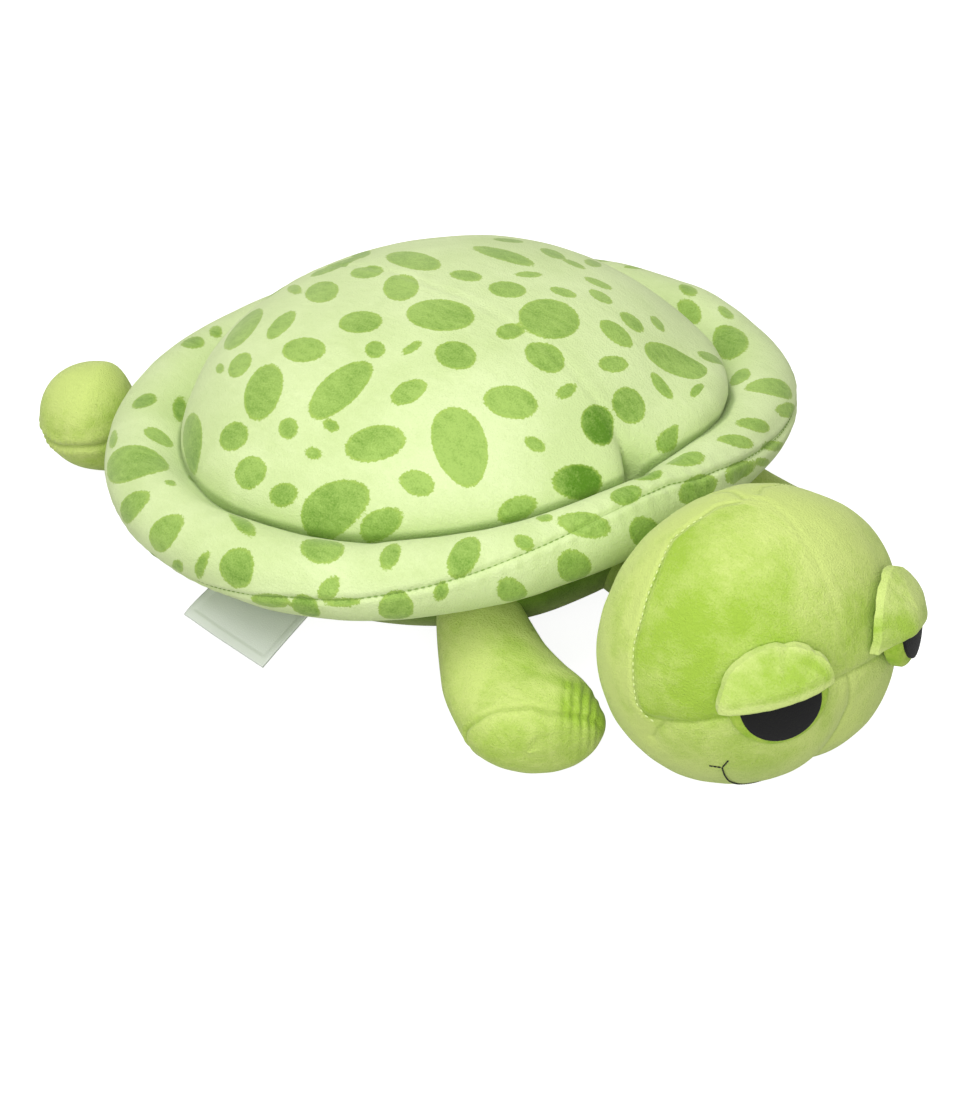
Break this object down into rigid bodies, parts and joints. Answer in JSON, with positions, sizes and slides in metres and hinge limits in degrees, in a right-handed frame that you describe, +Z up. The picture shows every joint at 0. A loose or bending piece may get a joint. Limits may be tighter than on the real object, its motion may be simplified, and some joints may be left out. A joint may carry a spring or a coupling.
{
  "type": "plush turtle",
  "caption": "Stuffed toy turtle with a spotted domed shell, a stuffed roll round its rim, a drooping head with padded eyelids, soft flippers and hind feet.",
  "frame": {"origin": "centre of the toy's bounding box, on the ground it lies on", "axes": "-Y towards the head's end, +Y towards the hind feet, +X to the turtle's left, +Z up"},
  "size_m": [0.34, 0.482, 0.1366],
  "materials": {
    "spotted_plush": "short pile, pale yellow-green with darker green spots",
    "lime_plush": "short pile, lime green",
    "lid_plush": "short pile, light lime green",
    "black_felt": "flat felt",
    "white_satin": "woven satin ribbon",
    "fibre_fill": "loose polyester fibre"
  },
  "bodies": {
    "body": {"shell_cover_right": "spotted_plush", "shell_cover_left": "spotted_plush", "belly_cover": "lime_plush", "body_filling": "fibre_fill", "rim_cover_upper": "spotted_plush", "rim_cover_lower": "spotted_plush", "rim_filling": "fibre_fill"},
    "neck": {"neck": "lime_plush"},
    "head": {"head_back_right": "lime_plush", "head_back_left": "lime_plush", "head_crown_right": "lime_plush", "head_crown_left": "lime_plush", "head_muzzle_right": "lime_plush", "head_muzzle_left": "lime_plush", "head_filling": "fibre_fill", "eye_backing_right": "lime_plush", "eye_backing_left": "lime_plush", "eye_right": "black_felt", "eye_left": "black_felt", "eyelid_right": "lid_plush", "eyelid_left": "lid_plush"},
    "flipper_right": {"flipper_sleeve_right": "lime_plush", "flipper_toe_right": "lime_plush", "flipper_filling_right": "fibre_fill"},
    "flipper_left": {"flipper_sleeve_left": "lime_plush", "flipper_toe_left": "lime_plush", "flipper_filling_left": "fibre_fill"},
    "hind_foot_right": {"hind_foot_top_right": "lime_plush", "hind_foot_sole_right": "lime_plush", "hind_foot_filling_right": "fibre_fill"},
    "hind_foot_left": {"hind_foot_top_left": "lime_plush", "hind_foot_sole_left": "lime_plush", "hind_foot_filling_left": "fibre_fill"},
    "care_label": {"care_label": "white_satin"}
  },
  "joints": [
    {"name": "neck_nod", "type": "hinge", "parent": "body", "child": "neck", "pos_m": [0, -0.07215, 0.038], "axis": [-1, 0, 0], "range_deg": [0, 5], "stiffness_Nm_per_rad": 0.6},
    {"name": "head_turn", "type": "hinge", "parent": "neck", "child": "head", "pos_m": [-0.0262, -0.12401, 0.045], "axis": [0, 0, 1], "range_deg": [-4, 20], "stiffness_Nm_per_rad": 0.15},
    {"name": "flipper_swing_right", "type": "hinge", "parent": "body", "child": "flipper_right", "pos_m": [-0.07779, -0.04655, 0.037], "axis": [0, 0, 1], "range_deg": [-20, 6], "stiffness_Nm_per_rad": 0.1},
    {"name": "flipper_swing_left", "type": "hinge", "parent": "body", "child": "flipper_left", "pos_m": [0.07779, -0.04655, 0.037], "axis": [0, 0, 1], "range_deg": [-6, 26], "stiffness_Nm_per_rad": 0.1},
    {"name": "hind_foot_swing_right", "type": "hinge", "parent": "body", "child": "hind_foot_right", "pos_m": [-0.04728, 0.13345, 0.0115], "axis": [0, 0, 1], "range_deg": [-15, 15], "stiffness_Nm_per_rad": 0.08},
    {"name": "hind_foot_swing_left", "type": "hinge", "parent": "body", "child": "hind_foot_left", "pos_m": [0.04728, 0.13345, 0.0115], "axis": [0, 0, 1], "range_deg": [-6, 19], "stiffness_Nm_per_rad": 0.08},
    {"name": "label_flap", "type": "hinge", "parent": "body", "child": "care_label", "pos_m": [-0.13011, 0.03254, 0.034], "axis": [0, 1, 0], "range_deg": [-10, 30], "stiffness_Nm_per_rad": 0.005}
  ]
}
